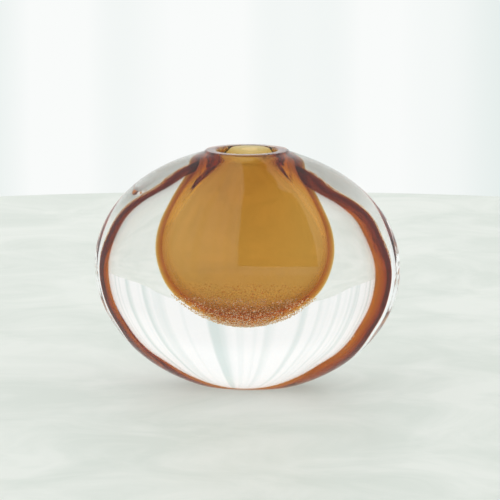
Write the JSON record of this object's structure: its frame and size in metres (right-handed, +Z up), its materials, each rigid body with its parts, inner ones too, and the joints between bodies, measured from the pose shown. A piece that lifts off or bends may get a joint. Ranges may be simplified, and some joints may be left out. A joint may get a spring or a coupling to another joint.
{
  "type": "glass bud vase",
  "caption": "Heavy flattened oval bud vase of clear glass cased over an amber flask, with a band of seed bubbles round the flask's underside and a small round mouth.",
  "frame": {"origin": "centre of the overall bounding box at its underside, which is the level of the resting flat", "axes": "+X along the width, the longest extent; +Y front to back, the shortest extent, with the broad front face towards -Y; +Z up, along the axis of the mouth"},
  "size_m": [0.152, 0.072, 0.117],
  "materials": {
    "clear_glass": "polished clear soda-lime glass",
    "seeded_glass": "clear glass full of seed bubbles",
    "amber_glass": "transparent amber glass, golden brown where it is thick"
  },
  "bodies": {
    "root": {"clear_casing": "clear_glass", "bubble_layer": "seeded_glass", "amber_lining": "amber_glass"}
  },
  "joints": []
}
